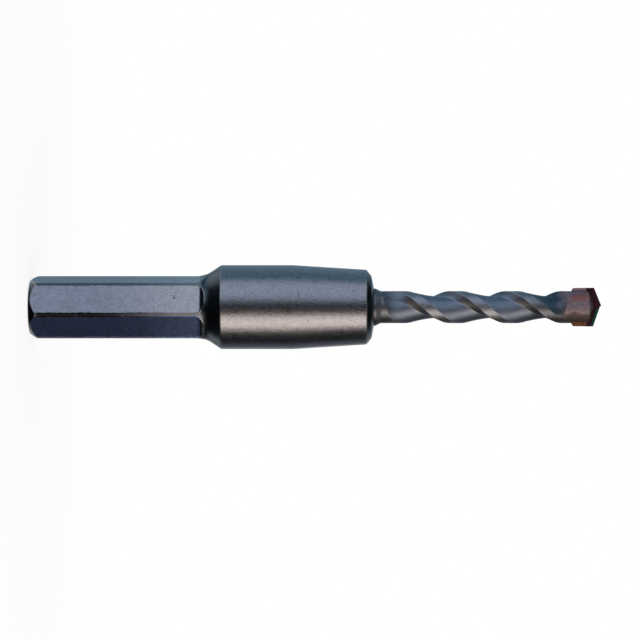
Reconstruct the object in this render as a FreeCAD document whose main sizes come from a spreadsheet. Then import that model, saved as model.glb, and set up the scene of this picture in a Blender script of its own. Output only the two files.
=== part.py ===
import FreeCAD, Part
import math
import os
import Sketcher
from FreeCAD import Vector

# Hole saw arbor: a steel body turned and milled from one bar, with a hexagon
# shank, a shoulder, a parallel collar and a short self-holding taper for the
# saw's hub, and a pilot drill with a brazed carbide tip in its nose.
# Millimetres. The origin is the middle of the shank's end face, and +Z runs
# up the axis to the point of the pilot drill.

doc = FreeCAD.newDocument("hole_saw_arbor")
sizes = doc.addObject("Spreadsheet::Sheet", "sizes")

FLAT_COUNT = 6
FLUTE_COUNT = 2

# Two sizes this close, in millimetres, count as the same.
SAME = 1e-4

# Driving dimensions: name, millimetres or degrees, what it is.
DRIVING = (
    ("across_flats", 12.0, "hexagon shank, across its flats"),
    ("corner_trim", 0.155, "how far the round bar trims the hexagon's corners"),
    ("shank_length", 37.3, "end face to the foot of the shoulder"),
    ("flats_end_gap", 2.05, "end of the level flats to the foot of the shoulder"),
    ("flats_cutter_radius", 2.3, "run-out radius at the end of each flat"),
    ("end_chamfer_length", 1.65, "turned chamfer at the shank's end, along the axis"),
    ("end_chamfer_angle", 35.5, "that chamfer's slope to the axis"),
    ("end_rounding", 0.76, "rounding between that chamfer and the end face"),
    ("shoulder_angle", 33.5, "slope of the shoulder to the axis"),
    ("shoulder_fillet", 3.5, "fillet at the foot of the shoulder"),
    ("collar_diameter", 17.8, "parallel collar"),
    ("collar_length", 15.2, "parallel collar"),
    ("edge_break", 0.15, "small chamfer on the turned edges"),
    ("taper_length", 15.5, "saw taper, along the axis"),
    ("taper_ratio", 8.0, "saw taper, length for each unit of diameter"),
    ("nose_chamfer_width", 1.3, "nose chamfer, across the axis"),
    ("nose_chamfer_length", 1.08, "nose chamfer, along the axis"),
    ("nose_face_angle", 11.0, "how far the nose face is coned"),
    ("seat_depth", 20.0, "length of the drill's shank in its socket"),
    ("seat_clearance", 0.02, "between the drill's shank and its socket"),
    ("socket_relief", 1.5, "socket below the end of the drill's shank"),
    ("socket_point_angle", 118.0, "point that drilled the socket"),
    ("drill_diameter", 6.8, "pilot drill over its lands"),
    ("shank_step", 0.55, "how far the parallel shank stands out from the drill"),
    ("shank_proud", 0.35, "shank that shows in front of the nose"),
    ("shank_bevel", 1.1, "bevel from the shank down to the drill"),
    ("shank_end_chamfer", 0.4, "chamfer at the hidden end of the shank"),
    ("helix_lead", 23.7, "one full turn of a flute, along the axis"),
    ("flute_bearing", 45.7, "bearing of a land's leading edge where full depth starts"),
    ("web_radius", 2.3, "least radius at a flute's floor"),
    ("land_angle", 38.0, "width of a land around the drill"),
    ("floor_angle", 134.0, "bearing of the least radius, back from the leading edge"),
    ("root_angle", 145.0, "bearing where the floor meets the flank"),
    ("back_radius", 3.2, "round of the back and floor of a flute"),
    ("flank_radius", 3.2, "round of the flank in front of a land"),
    ("wheel_radius", 7.6, "curve along which a flute comes out towards the shank"),
    ("head_wheel_radius", 3.0, "curve along which a flute comes out under the head"),
    ("straightening", 0.9, "length over which a flute's end leaves the helix"),
    ("flute_margin", 0.75, "plain drill before the first flute"),
    ("fluted_length", 32.4, "length of full flute depth"),
    ("head_length", 4.52, "round head, from the flute's end to the rim"),
    ("slot_depth", 3.6, "slot for the carbide plate, below the rim"),
    ("braze_gap", 0.12, "brazing metal on each side of the plate"),
    ("plate_thickness", 1.8, "carbide plate"),
    ("plate_overhang", 0.7, "how far the plate cuts outside the drill"),
    ("plate_side", 4.65, "plate, from its back to its cutting corner"),
    ("plate_back_taper", 0.06, "how much narrower each side is at the back"),
    ("plate_bevel_width", 0.55, "bevelled back corners, across the axis"),
    ("plate_bevel_length", 0.35, "bevelled back corners, along the axis"),
    ("point_angle", 139.0, "point of the carbide plate and of the steel behind it"),
    ("relief_drop", 0.7, "fall from a cutting lip to the plate's other face"),
    ("chisel_reach", 0.8, "from the point to where a lip has its full relief"),
    ("point_offset", 0.3, "how far off the axis the point is ground"),
    ("plate_lag", 30.9, "plate behind the land's leading edge, at the slot's floor"),
)

# Dimensions that follow from the ones above.
DERIVED = (
    ("half_flats", "across_flats / 2"),
    ("bar_radius", "across_flats / sqrt(3) - corner_trim"),
    ("end_corner", "bar_radius - end_chamfer_length * tan(end_chamfer_angle)"),
    ("end_round_reach", "end_rounding * tan(45 - end_chamfer_angle / 2)"),
    ("end_face_radius", "end_corner - end_round_reach"),
    ("end_round_radius", "end_corner + end_round_reach * sin(end_chamfer_angle)"),
    ("end_round_top", "end_round_reach * cos(end_chamfer_angle)"),
    ("flats_length", "shank_length - flats_end_gap"),
    ("flats_outside", "half_flats + flats_cutter_radius"),
    ("flats_runout_end", "flats_length + flats_cutter_radius"),
    ("flats_cut_width", "4 * bar_radius"),
    ("fillet_reach", "shoulder_fillet * tan(shoulder_angle / 2)"),
    ("fillet_start", "shank_length - fillet_reach"),
    ("fillet_end", "shank_length + fillet_reach * cos(shoulder_angle)"),
    ("fillet_end_radius", "bar_radius + fillet_reach * sin(shoulder_angle)"),
    ("fillet_centre", "bar_radius + shoulder_fillet"),
    ("collar_radius", "collar_diameter / 2"),
    ("collar_start", "shank_length + (collar_radius - bar_radius) / tan(shoulder_angle)"),
    ("taper_start", "collar_start + collar_length"),
    ("nose_start", "taper_start + taper_length"),
    ("taper_end_radius", "collar_radius - taper_length / taper_ratio / 2"),
    ("nose_radius", "taper_end_radius - nose_chamfer_width"),
    ("nose_front", "nose_start + nose_chamfer_length"),
    ("drill_radius", "drill_diameter / 2"),
    ("seat_radius", "drill_radius + shank_step"),
    ("mouth_height", "nose_front + (nose_radius - seat_radius) * tan(nose_face_angle)"),
    ("nose_tip_height", "nose_front + nose_radius * tan(nose_face_angle)"),
    ("shank_end_height", "mouth_height - seat_depth"),
    ("shank_end_flat", "seat_radius - shank_end_chamfer"),
    ("shank_end_top", "shank_end_height + shank_end_chamfer"),
    ("shank_shoulder", "mouth_height + shank_proud"),
    ("drill_start", "shank_shoulder + shank_bevel"),
    ("socket_floor", "shank_end_height - socket_relief"),
    ("socket_radius", "seat_radius + seat_clearance"),
    ("socket_point", "socket_floor - socket_radius / tan(socket_point_angle / 2)"),
    ("socket_top", "mouth_height + shank_step + nose_chamfer_length"),
    ("flute_depth", "drill_radius - web_radius"),
    ("flute_runout", "sqrt(wheel_radius ^ 2 - (wheel_radius - flute_depth) ^ 2)"),
    ("flute_start", "drill_start + flute_margin + flute_runout"),
    ("flute_end", "flute_start + fluted_length"),
    ("head_runout", "sqrt(head_wheel_radius ^ 2 - (head_wheel_radius - flute_depth) ^ 2)"),
    ("rim_height", "flute_end + head_runout + head_length"),
    ("steel_point", "rim_height + drill_radius / tan(point_angle / 2)"),
    ("slot_height", "rim_height - slot_depth"),
    ("slot_width", "plate_thickness + 2 * braze_gap"),
    ("slot_half_width", "slot_width / 2"),
    ("plate_half_thickness", "plate_thickness / 2"),
    ("plate_back", "slot_height + braze_gap"),
    ("plate_half_width", "drill_radius + plate_overhang"),
    ("plate_back_half_width", "plate_half_width - plate_back_taper"),
    ("plate_back_flat", "plate_back_half_width - plate_bevel_width"),
    ("plate_bevel_top", "plate_back + plate_bevel_length"),
    ("cutting_corner", "plate_back + plate_side"),
    ("trailing_corner", "cutting_corner - relief_drop"),
    ("point_rise", "plate_half_width / tan(point_angle / 2)"),
    ("point_height", "cutting_corner + point_rise"),
    ("short_lip_place", "point_offset + chisel_reach"),
    ("long_lip_place", "chisel_reach - point_offset"),
    ("short_lip_height", "point_height - chisel_reach * point_rise / (plate_half_width - point_offset)"),
    ("long_lip_height", "point_height - chisel_reach * point_rise / (plate_half_width + point_offset)"),
    ("short_relief_height", "short_lip_height - relief_drop"),
    ("long_relief_height", "long_lip_height - relief_drop"),
    ("plate_bearing", "flute_bearing + (slot_height - flute_start) * 360 / helix_lead - plate_lag"),
)


def fill_sheet():
    """Write each dimension and its note in a row, and give its cell an alias."""
    row = 1
    for name, value, note in DRIVING:
        sizes.set(f"A{row}", name)
        sizes.set(f"B{row}", str(value))
        sizes.set(f"C{row}", note)
        sizes.setAlias(f"B{row}", name)
        row += 1
    for name, formula in DERIVED:
        sizes.set(f"A{row}", name)
        sizes.set(f"B{row}", "=" + formula)
        sizes.setAlias(f"B{row}", name)
        row += 1
    doc.recompute()


def size(name):
    """The value of a sheet cell; an empty name is zero and a minus sign mirrors it."""
    if not name:
        return 0.0
    if name.startswith("-"):
        return -float(getattr(sizes, name[1:]))
    return float(getattr(sizes, name))


def origin_feature(body, role):
    """A body's own origin plane or axis, found by its role."""
    return [feature for feature in body.Origin.OriginFeatures if feature.Role == role][0]


def pin(sketch, geometry, point, x_name, y_name):
    """Hold a sketch point at two sheet dimensions from the sketch's origin."""
    for name, kind, axis in ((x_name, "DistanceX", -2), (y_name, "DistanceY", -1)):
        if not name:
            sketch.addConstraint(Sketcher.Constraint("PointOnObject", geometry, point, axis))
            continue
        ends = (geometry, point, -1, 1) if name.startswith("-") else (-1, 1, geometry, point)
        index = sketch.addConstraint(Sketcher.Constraint(kind, *ends, abs(size(name))))
        sketch.setExpression(f"Constraints[{index}]", "sizes." + name.lstrip("-"))


def outline(body, name, plane, corners, arcs=()):
    """A closed sketch through corners named in the sheet, with some edges as arcs.

    Each arc is the number of its edge, its centre's two names and its radius.
    """
    sketch = body.newObject("Sketcher::SketchObject", name)
    sketch.AttachmentSupport = [(origin_feature(body, plane), "")]
    sketch.MapMode = "FlatFace"
    points = [Vector(size(x), size(y), 0) for x, y in corners]
    arc_edges = {arc[0]: arc[1:] for arc in arcs}
    ends = []
    for index, start in enumerate(points):
        end = points[(index + 1) % len(points)]
        if index not in arc_edges:
            edge = sketch.addGeometry(Part.LineSegment(start, end))
            ends.append((edge, 1, 2))
            continue
        centre_x, centre_y, radius = arc_edges[index]
        centre = Vector(size(centre_x), size(centre_y), 0)
        from_angle = math.atan2(start.y - centre.y, start.x - centre.x)
        to_angle = math.atan2(end.y - centre.y, end.x - centre.x)
        forward = math.sin(to_angle - from_angle) > 0
        angles = (from_angle, to_angle) if forward else (to_angle, from_angle)
        circle = Part.Circle(centre, Vector(0, 0, 1), size(radius))
        edge = sketch.addGeometry(Part.ArcOfCircle(circle, *angles))
        ends.append((edge, 1, 2) if forward else (edge, 2, 1))
        held = sketch.addConstraint(Sketcher.Constraint("Radius", edge, size(radius)))
        sketch.setExpression(f"Constraints[{held}]", "sizes." + radius)
    for index, (edge, first, last) in enumerate(ends):
        following = ends[(index + 1) % len(ends)]
        sketch.addConstraint(Sketcher.Constraint("Coincident", edge, last, following[0], following[1]))
    for (edge, first, last), (x_name, y_name) in zip(ends, corners):
        pin(sketch, edge, first, x_name, y_name)
    return sketch


def revolve(body, kind, name, sketch):
    """Turn an outline round the body's axis, as metal added or taken away."""
    feature = body.newObject("PartDesign::" + kind, name)
    feature.Profile = sketch
    feature.ReferenceAxis = (sketch, ["V_Axis"])
    feature.Angle = 360
    sketch.Visibility = False
    doc.recompute()
    return feature


def break_edge(body, name, radius_name, height_name):
    """Chamfer the circular edge of the body that has the given radius and height."""
    base = body.Tip
    edge_names = []
    for index, edge in enumerate(base.Shape.Edges, start=1):
        circle = edge.Curve
        if not isinstance(circle, Part.Circle):
            continue
        same_radius = abs(circle.Radius - size(radius_name)) < SAME
        if same_radius and abs(circle.Center.z - size(height_name)) < SAME:
            edge_names.append(f"Edge{index}")
    chamfer = body.newObject("PartDesign::Chamfer", name)
    chamfer.Base = (base, edge_names)
    chamfer.setExpression("Size", "sizes.edge_break")
    doc.recompute()


def make_arbor_body():
    """The steel body: turned outline, milled hexagon and the drill's socket."""
    body = doc.addObject("PartDesign::Body", "arbor_body")
    turned = outline(body, "turned_outline", "XZ_Plane", (
        ("", ""),
        ("end_face_radius", ""),
        ("end_round_radius", "end_round_top"),
        ("bar_radius", "end_chamfer_length"),
        ("bar_radius", "fillet_start"),
        ("fillet_end_radius", "fillet_end"),
        ("collar_radius", "collar_start"),
        ("collar_radius", "taper_start"),
        ("taper_end_radius", "nose_start"),
        ("nose_radius", "nose_front"),
        ("", "nose_tip_height"),
    ), (
        (1, "end_face_radius", "end_rounding", "end_rounding"),
        (4, "fillet_centre", "fillet_start", "shoulder_fillet"),
    ))
    revolve(body, "Revolution", "turned_bar", turned)
    break_edge(body, "collar_edge_broken", "collar_radius", "collar_start")
    break_edge(body, "taper_edge_broken", "taper_end_radius", "nose_start")
    break_edge(body, "nose_edge_broken", "nose_radius", "nose_front")

    # One cutter pass makes a flat and runs out of the bar in an arc.
    cutter = outline(body, "flat_cut_outline", "YZ_Plane", (
        ("half_flats", "-flats_cutter_radius"),
        ("half_flats", "flats_length"),
        ("flats_outside", "flats_runout_end"),
        ("flats_outside", "-flats_cutter_radius"),
    ), ((1, "flats_outside", "flats_length", "flats_cutter_radius"),))
    flat = body.newObject("PartDesign::Pocket", "first_flat")
    flat.Profile = cutter
    flat.SideType = "Symmetric"
    flat.setExpression("Length", "sizes.flats_cut_width")
    doc.recompute()
    flats = body.newObject("PartDesign::PolarPattern", "six_flats")
    flats.Originals = [flat]
    flats.Axis = (origin_feature(body, "Z_Axis"), [""])
    flats.Angle = 360
    flats.Occurrences = FLAT_COUNT
    body.Tip = flats
    doc.recompute()

    socket = outline(body, "socket_outline", "XZ_Plane", (
        ("", "socket_point"),
        ("socket_radius", "socket_floor"),
        ("socket_radius", "socket_top"),
        ("", "socket_top"),
    ))
    revolve(body, "Groove", "drill_socket", socket)
    return body


def make_drill_blank():
    """The pilot drill before fluting: parallel shank, drill and coned end."""
    body = doc.addObject("PartDesign::Body", "drill_blank")
    turned = outline(body, "blank_outline", "XZ_Plane", (
        ("", "shank_end_height"),
        ("shank_end_flat", "shank_end_height"),
        ("seat_radius", "shank_end_top"),
        ("seat_radius", "shank_shoulder"),
        ("drill_radius", "drill_start"),
        ("drill_radius", "rim_height"),
        ("", "steel_point"),
    ))
    revolve(body, "Revolution", "turned_blank", turned)
    return body


def polar(radius, bearing):
    """A point at a radius and a bearing in degrees, back from the leading edge."""
    return Vector(radius * math.cos(math.radians(bearing)), -radius * math.sin(math.radians(bearing)), 0)


def arc_centre(start, end, radius):
    """The centre, on the drill's side, of an arc of given radius from start to end."""
    chord = end - start
    inward = Vector(chord.y, -chord.x, 0).normalize()
    return (start + end) * 0.5 + inward * math.sqrt(radius ** 2 - chord.Length ** 2 / 4)


def on_bearing(centre, radius, bearing):
    """Where a ray from the axis at a bearing leaves the given circle."""
    ray = polar(1, bearing)
    along = ray.dot(centre)
    return ray * (along + math.sqrt(along ** 2 - centre.dot(centre) + radius ** 2))


def flute_section():
    """The outline of one flute across the drill: back and floor, flank, and outside."""
    # Degrees that the back runs on outside the drill; the flank runs on by a third of it.
    overrun = 18
    half_turn = 360 / FLUTE_COUNT
    back_radius = size("back_radius")
    flank_radius = size("flank_radius")
    drill_radius = size("drill_radius")
    land_angle = size("land_angle")
    root_angle = size("root_angle")
    heel = polar(drill_radius, land_angle)
    lowest = polar(size("web_radius"), size("floor_angle"))
    back_centre = arc_centre(heel, lowest, back_radius)
    root = on_bearing(back_centre, back_radius, root_angle)
    leading_edge = polar(drill_radius, half_turn)
    flank_centre = arc_centre(root, leading_edge, flank_radius)
    back_start = on_bearing(back_centre, back_radius, land_angle - overrun)
    back_middle = on_bearing(back_centre, back_radius, (land_angle + root_angle) / 2)
    flank_middle = on_bearing(flank_centre, flank_radius, (root_angle + half_turn) / 2)
    flank_end = on_bearing(flank_centre, flank_radius, half_turn + overrun / 3)
    outside = polar(2 * drill_radius, (land_angle + half_turn) / 2)
    return Part.Wire([
        Part.Arc(back_start, back_middle, root).toShape(),
        Part.Arc(root, flank_middle, flank_end).toShape(),
        Part.Arc(flank_end, outside, back_start).toShape(),
    ])


def flute_at(section, height):
    """The flute's outline at a height: turned on the helix, and lifted past its ends."""
    start = size("flute_start")
    end = size("flute_end")
    wheel = size("wheel_radius" if height < start else "head_wheel_radius")
    ease = size("straightening")
    past = max(start - height, height - end, 0)
    turned_past = ease * (1 - math.exp(-past / ease))
    if height < start:
        helix_height = start - turned_past
    elif height > end:
        helix_height = end + turned_past
    else:
        helix_height = height
    bearing = size("flute_bearing") + (helix_height - start) * 360 / size("helix_lead")
    lift = wheel - math.sqrt(wheel ** 2 - past ** 2)
    placed = section.copy()
    placed.translate(polar(lift, (size("land_angle") + 360 / FLUTE_COUNT) / 2))
    placed.rotate(Vector(0, 0, 0), Vector(0, 0, 1), bearing)
    placed.translate(Vector(0, 0, height))
    return placed


def make_flutes():
    """The metal that the flutes take away, each lofted through its turning outline."""
    step_angle = 15
    runout_steps = 6
    clear_lift = size("flute_depth") + size("shank_step")
    wheels = (size("wheel_radius"), size("head_wheel_radius"))
    low_reach, high_reach = (math.sqrt(wheel ** 2 - (wheel - clear_lift) ** 2) for wheel in wheels)
    start = size("flute_start")
    end = size("flute_end")
    turn = (end - start) * 360 / size("helix_lead")
    steps = math.ceil(turn / step_angle)
    heights = [start - low_reach * step / runout_steps for step in range(runout_steps, 0, -1)]
    heights += [start + (end - start) * step / steps for step in range(steps + 1)]
    heights += [end + high_reach * step / runout_steps for step in range(1, runout_steps + 1)]
    section = flute_section()
    first = Part.makeLoft([flute_at(section, height) for height in heights], True, False)
    flutes = []
    for index in range(FLUTE_COUNT):
        flute = first.copy()
        flute.rotate(Vector(0, 0, 0), Vector(0, 0, 1), index * 360 / FLUTE_COUNT)
        flutes.append(flute)
    feature = doc.addObject("Part::Feature", "flutes")
    feature.Shape = Part.makeCompound(flutes)
    return feature


def make_slot():
    """The block of metal that the slot for the carbide plate takes away."""
    body = doc.addObject("PartDesign::Body", "slot_block")
    section = outline(body, "slot_outline", "XZ_Plane", (
        ("-plate_half_width", "slot_height"),
        ("plate_half_width", "slot_height"),
        ("plate_half_width", "point_height"),
        ("-plate_half_width", "point_height"),
    ))
    block = body.newObject("PartDesign::Pad", "slot_pad")
    block.Profile = section
    block.SideType = "Symmetric"
    block.setExpression("Length", "sizes.slot_width")
    body.setExpression("Placement.Rotation.Angle", "sizes.plate_bearing")
    return body


def make_carbide_tip():
    """The carbide plate: from each cutting lip its top falls to the other face."""
    body = doc.addObject("PartDesign::Body", "carbide_tip")
    faces = []
    for name, side, short_corner, short_height, long_height, long_corner in (
        ("front_face", 1, "trailing_corner", "short_relief_height", "long_lip_height", "cutting_corner"),
        ("rear_face", -1, "cutting_corner", "short_lip_height", "long_relief_height", "trailing_corner"),
    ):
        face = outline(body, name, "XZ_Plane", (
            ("-plate_back_flat", "plate_back"),
            ("plate_back_flat", "plate_back"),
            ("plate_back_half_width", "plate_bevel_top"),
            ("plate_half_width", short_corner),
            ("short_lip_place", short_height),
            ("point_offset", "point_height"),
            ("-long_lip_place", long_height),
            ("-plate_half_width", long_corner),
            ("-plate_back_half_width", "plate_bevel_top"),
        ))
        face.setExpression("AttachmentOffset.Base.z", f"{side} * sizes.plate_half_thickness")
        faces.append(face)
    plate = body.newObject("PartDesign::AdditiveLoft", "plate")
    plate.Profile = faces[0]
    plate.Sections = [faces[1]]
    plate.Ruled = True
    body.setExpression("Placement.Rotation.Angle", "sizes.plate_bearing")
    return body


def boolean(kind, name, base, tool):
    """A boolean of two objects, kept as an object of its own."""
    result = doc.addObject("Part::" + kind, name)
    result.Base = base
    result.Tool = tool
    return result


def check_document(parts):
    """Stop if any object failed or any sub-part isn't one sound solid."""
    for item in doc.Objects:
        if "Invalid" in item.State or "Error" in item.State:
            raise RuntimeError(f"{item.Name} failed: {item.State}")
    for part in parts:
        shape = part.Shape
        if shape.isNull() or not shape.isValid() or len(shape.Solids) != 1:
            raise RuntimeError(f"{part.Label} isn't one sound solid")


fill_sheet()
arbor_body = make_arbor_body()
drill_blank = make_drill_blank()
flutes = make_flutes()
slot_block = make_slot()
carbide_tip = make_carbide_tip()
doc.recompute()

fluted_blank = boolean("Cut", "fluted_blank", drill_blank, flutes)
pilot_drill = boolean("Cut", "pilot_drill", fluted_blank, slot_block)
filled_slot = boolean("Common", "filled_slot", drill_blank, slot_block)
braze_seam = boolean("Cut", "braze_seam", filled_slot, carbide_tip)
doc.recompute()

PARTS = (arbor_body, pilot_drill, carbide_tip, braze_seam)
check_document(PARTS)
os.makedirs("parts", exist_ok=True)
for part in PARTS:
    part.Shape.exportStep(f"parts/{part.Label}.step")
    print(part.Label, round(part.Shape.Volume, 3), part.Shape.BoundBox)
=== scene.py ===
import math

import bpy
from bpy.props import FloatProperty, FloatVectorProperty, PointerProperty
from mathutils import Matrix, Vector

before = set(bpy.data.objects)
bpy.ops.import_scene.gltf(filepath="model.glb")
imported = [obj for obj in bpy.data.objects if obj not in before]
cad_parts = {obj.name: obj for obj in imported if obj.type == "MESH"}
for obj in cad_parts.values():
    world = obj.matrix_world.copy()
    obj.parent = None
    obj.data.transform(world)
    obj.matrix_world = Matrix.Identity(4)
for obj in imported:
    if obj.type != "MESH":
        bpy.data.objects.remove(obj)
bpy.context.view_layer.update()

bl_info = {
    "name": "Hole saw arbor finishes",
    "version": (1, 0, 0),
    "blender": (4, 5, 0),
    "location": "3D View > Sidebar > Arbor",
    "description": "Steel, carbide and braze finishes for a hole saw arbor, and its stage",
    "category": "Material",
}

# Sizes of the object, in millimetres. Heights are up the axis from the shank's end face.
MM = 0.001
HALF_FLATS = 6.0
BAR_RADIUS = 6.773
CHAMFER_TOP = 1.65
FLATS_TOP = 35.25
CUTTER_RADIUS = 2.3
SHOULDER_FOOT = 36.2
COLLAR_START = 40.51
TAPER_START = 55.71
NOSE_START = 71.21
FLUTE_START = 78.955
FLUTE_END = 111.355
DRILL_RADIUS = 3.4

# How the flutes wind: one turn's length, and bearings in degrees round the drill.
HELIX_LEAD = 23.7
LEADING_EDGE = 45.7
ROOT_ANGLE = 145.0

# The camera looks at the axis from this bearing, rolled so that the axis lies level.
CAMERA_BEARING = -74.4


class ArborSteelSettings(bpy.types.PropertyGroup):
    """Colours of the steel body."""

    steel: FloatVectorProperty(
        name="Steel", description="Turned steel of the collar and the taper",
        default=(0.215, 0.23, 0.27), subtype="COLOR", min=0, max=1)
    milled: FloatVectorProperty(
        name="Milled flats", description="Face-milled steel of the hexagon",
        default=(0.205, 0.22, 0.275), subtype="COLOR", min=0, max=1)
    clean: FloatVectorProperty(
        name="Clean flats", description="Milled steel near the shoulder, where it is cleanest",
        default=(0.30, 0.31, 0.345), subtype="COLOR", min=0, max=1)
    scale: FloatVectorProperty(
        name="Corners", description="Dark unmilled skin on the hexagon's corners",
        default=(0.012, 0.013, 0.017), subtype="COLOR", min=0, max=1)
    shoulder: FloatVectorProperty(
        name="Shoulder", description="Oxide on the shoulder, the end chamfer and the nose",
        default=(0.025, 0.048, 0.063), subtype="COLOR", min=0, max=1)
    roughness: FloatProperty(
        name="Roughness", description="Roughness of the turned steel",
        default=0.29, subtype="FACTOR", min=0, max=1)


class PilotDrillSettings(bpy.types.PropertyGroup):
    """Colours of the pilot drill."""

    land: FloatVectorProperty(
        name="Lands", description="Ground steel of the lands and the plain shank",
        default=(0.205, 0.235, 0.28), subtype="COLOR", min=0, max=1)
    flute: FloatVectorProperty(
        name="Flutes", description="Duller steel of the flutes",
        default=(0.155, 0.195, 0.26), subtype="COLOR", min=0, max=1)
    # Painted shade: the steep side of a flute is coloured dark as if shadow lay in it.
    flank_shade: FloatVectorProperty(
        name="Flanks", description="Darkest steel, on the steep side of a flute",
        default=(0.13, 0.13, 0.145), subtype="COLOR", min=0, max=1)
    # Painted highlight: the edges of the flutes are coloured light as if they caught the light.
    edge_highlight: FloatVectorProperty(
        name="Bright edges", description="Bare steel along the edges of the flutes",
        default=(0.46, 0.43, 0.43), subtype="COLOR", min=0, max=1)
    quench: FloatVectorProperty(
        name="Blue tint", description="Heat tint where the flutes end",
        default=(0.03, 0.065, 0.095), subtype="COLOR", min=0, max=1)
    head: FloatVectorProperty(
        name="Head", description="Mauve-grey oxide on the head",
        default=(0.28, 0.23, 0.28), subtype="COLOR", min=0, max=1)
    copper: FloatVectorProperty(
        name="Copper wash", description="Brazing metal that ran over the head",
        default=(0.30, 0.12, 0.11), subtype="COLOR", min=0, max=1)
    flux: FloatVectorProperty(
        name="Flux stain", description="Brown stain that brazing flux left on the head",
        default=(0.09, 0.074, 0.066), subtype="COLOR", min=0, max=1)


class TipSettings(bpy.types.PropertyGroup):
    """Colours of the carbide plate and the brazing metal that holds it."""

    carbide: FloatVectorProperty(
        name="Carbide", description="Ground carbide",
        default=(0.06, 0.026, 0.036), subtype="COLOR", min=0, max=1)
    facet: FloatVectorProperty(
        name="Relief facets", description="Freshly ground faces behind the lips",
        default=(0.018, 0.075, 0.068), subtype="COLOR", min=0, max=1)
    film: FloatVectorProperty(
        name="Film", description="Oxide film on the sides that stand out from the head",
        default=(0.29, 0.215, 0.265), subtype="COLOR", min=0, max=1)
    copper: FloatVectorProperty(
        name="Braze", description="Copper-coloured brazing metal",
        default=(0.34, 0.15, 0.09), subtype="COLOR", min=0, max=1)


class StageSettings(bpy.types.PropertyGroup):
    """Camera distance and light levels; a level of 1 is white."""

    camera_distance: FloatProperty(
        name="Camera distance", description="From the camera to the axis",
        default=0.55, unit="LENGTH", min=0.1, max=5)
    key_level: FloatProperty(
        name="Key light", description="Brightness of the warm lamp below the axis in the picture",
        default=1.6, min=0, max=10)
    floor: FloatVectorProperty(
        name="Floor", description="Colour of the floor",
        default=(0.92, 0.92, 0.92), subtype="COLOR", min=0, max=1)


class Graph:
    """Adds nodes to a node tree and links them."""

    def __init__(self, tree):
        self.tree = tree

    def feed(self, socket, value):
        """Link a socket to another node's output, or set its value."""
        if isinstance(value, bpy.types.NodeSocket):
            self.tree.links.new(value, socket)
        elif socket.type == "RGBA" and len(value) == 3:
            socket.default_value = (*value, 1)
        else:
            socket.default_value = value

    def add(self, kind, inputs=(), **settings):
        """A new node with its settings and inputs, given as pairs of socket and value."""
        node = self.tree.nodes.new(kind)
        for name, value in settings.items():
            setattr(node, name, value)
        for socket, value in inputs:
            self.feed(node.inputs[socket], value)
        return node

    def math(self, operation, *values):
        """The result of a Math node."""
        node = self.add("ShaderNodeMath", enumerate(values), operation=operation)
        return node.outputs[0]

    def times(self, first, *others):
        """Values multiplied together."""
        for other in others:
            first = self.math("MULTIPLY", first, other)
        return first

    def plus(self, first, second):
        """The sum of two values."""
        return self.math("ADD", first, second)

    def minus(self, first, second):
        """The first value less the second."""
        return self.math("SUBTRACT", first, second)

    def most(self, first, *others):
        """The largest of some values."""
        for other in others:
            first = self.math("MAXIMUM", first, other)
        return first

    def opposite(self, mask):
        """0 where a mask is 1, and 1 where it is 0."""
        return self.math("SUBTRACT", 1.0, mask)

    def line(self, value, slope, start):
        """A value times a slope, added to a start."""
        return self.math("MULTIPLY_ADD", value, slope, start)

    def faded(self, mask, share):
        """1 where a mask is 0, and less by a share where it is 1."""
        return self.line(mask, -share, 1.0)

    def varied(self, value, mottle, spread):
        """A value that a mottle from 0 to 1 lowers and raises by half of a spread."""
        return self.line(mottle, spread, self.minus(value, spread / 2))

    def step(self, value, start, end):
        """0 where a value is at start or before it and 1 from end on, smooth between."""
        node = self.add(
            "ShaderNodeMapRange",
            (("Value", value), ("From Min", start), ("From Max", end)),
            interpolation_type="SMOOTHSTEP")
        return node.outputs["Result"]

    def between(self, value, start, end, soft):
        """1 where a value lies between start and end, fading over a soft width at each."""
        rise = self.step(value, start - soft, start + soft)
        fall = self.step(value, end + soft, end - soft)
        return self.times(rise, fall)

    def near(self, value, centre, width):
        """1 where a value is at centre, falling to 0 at width from it."""
        return self.step(self.math("ABSOLUTE", self.minus(value, centre)), width, 0.0)

    def mix(self, factor, first, second, blend="MIX"):
        """A mix of two colours."""
        node = self.add("ShaderNodeMix", data_type="RGBA", blend_type=blend)
        self.feed(node.inputs["Factor"], factor)
        self.feed(node.inputs["A"], first)
        self.feed(node.inputs["B"], second)
        return node.outputs["Result"]

    def cover(self, colour, mask, share, over):
        """A colour covered by another where a mask is 1, at most by a share."""
        return self.mix(self.times(mask, share), colour, over)

    def mix_value(self, factor, first, second):
        """A mix of two values."""
        node = self.add("ShaderNodeMix", data_type="FLOAT")
        self.feed(node.inputs["Factor"], factor)
        self.feed(node.inputs["A"], first)
        self.feed(node.inputs["B"], second)
        return node.outputs["Result"]

    def noise(self, vector, scale, detail=3.0, roughness=0.5):
        """The value of a noise texture, about 0.5 on average."""
        node = self.add(
            "ShaderNodeTexNoise",
            (("Vector", vector), ("Scale", scale), ("Detail", detail), ("Roughness", roughness)))
        return node.outputs["Fac"]

    def scaled(self, vector, amount):
        """A colour made darker or lighter by a value, or a vector made shorter or longer."""
        node = self.add("ShaderNodeVectorMath", ((0, vector), ("Scale", amount)), operation="SCALE")
        return node.outputs[0]

    def mottled(self, colour, mottle, spread):
        """A colour that a mottle makes darker and lighter by half of a spread."""
        return self.scaled(colour, self.line(mottle, spread, 1.0 - spread / 2))

    def group(self, tree, **inputs):
        """The outputs of a placed shader node group; its inputs are named in lower case."""
        node = self.add("ShaderNodeGroup", node_tree=tree)
        for name, value in inputs.items():
            self.feed(node.inputs[name.capitalize()], value)
        return node.outputs


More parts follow.
